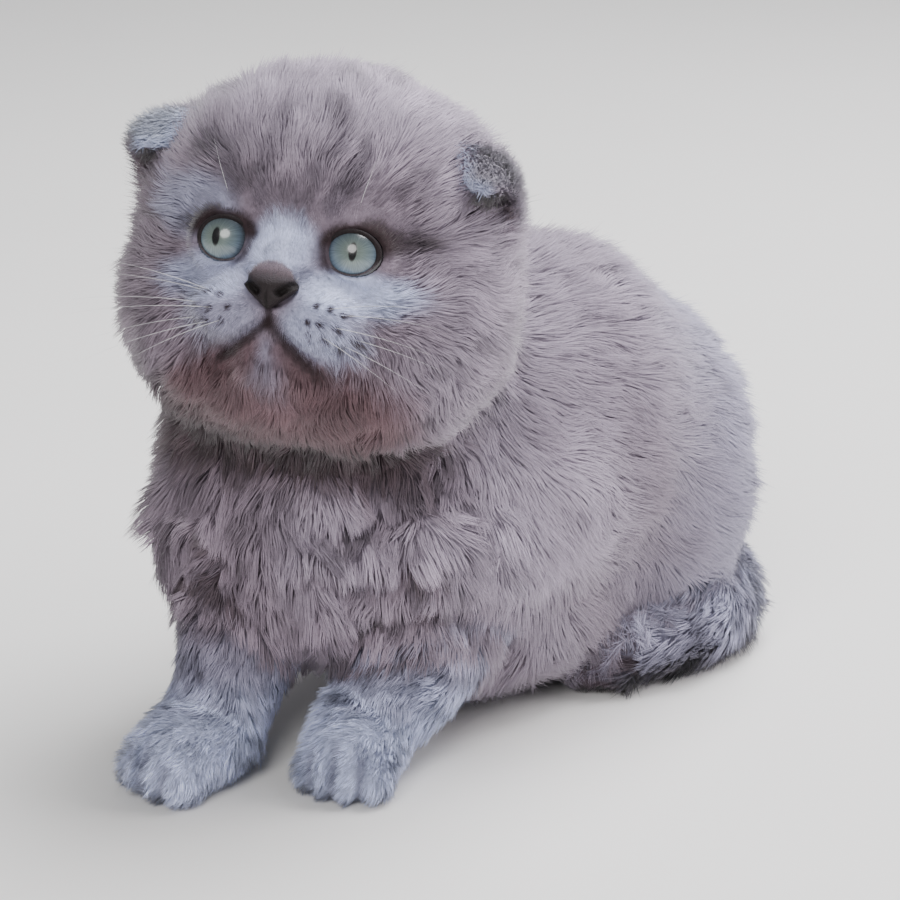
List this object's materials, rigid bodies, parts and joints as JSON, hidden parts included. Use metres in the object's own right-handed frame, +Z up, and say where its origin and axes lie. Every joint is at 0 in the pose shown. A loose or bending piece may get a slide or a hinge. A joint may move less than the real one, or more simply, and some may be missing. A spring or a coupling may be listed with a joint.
{
  "type": "scottish fold kitten",
  "caption": "Still life-size model of a sitting blue kitten with small folded ears, its head turned and tilted up and its thick tail curled round one haunch.",
  "frame": {"origin": "middle of the box round the kitten, on the floor that it sits on", "axes": "+Z up; +Y runs from the chest back to the rump; +X is the kitten's own left side, where the tail lies"},
  "size_m": [0.0947, 0.1779, 0.1551],
  "materials": {
    "blue_coat": "soft plush fur, blue-grey, paler on paws and muzzle",
    "eye": "wet gloss, grey-green iris with a dark pupil",
    "nose_leather": "finely pebbled, slightly moist"
  },
  "bodies": {
    "root": {"torso": "blue_coat", "neck": "blue_coat", "head": "blue_coat", "ear_left": "blue_coat", "ear_right": "blue_coat", "eye_left": "eye", "eye_right": "eye", "nose": "nose_leather", "foreleg_left": "blue_coat", "forepaw_left": "blue_coat", "foreleg_right": "blue_coat", "forepaw_right": "blue_coat", "hind_leg_left": "blue_coat", "hind_leg_right": "blue_coat", "hind_foot_left": "blue_coat", "hind_foot_right": "blue_coat", "tail": "blue_coat"}
  },
  "joints": []
}
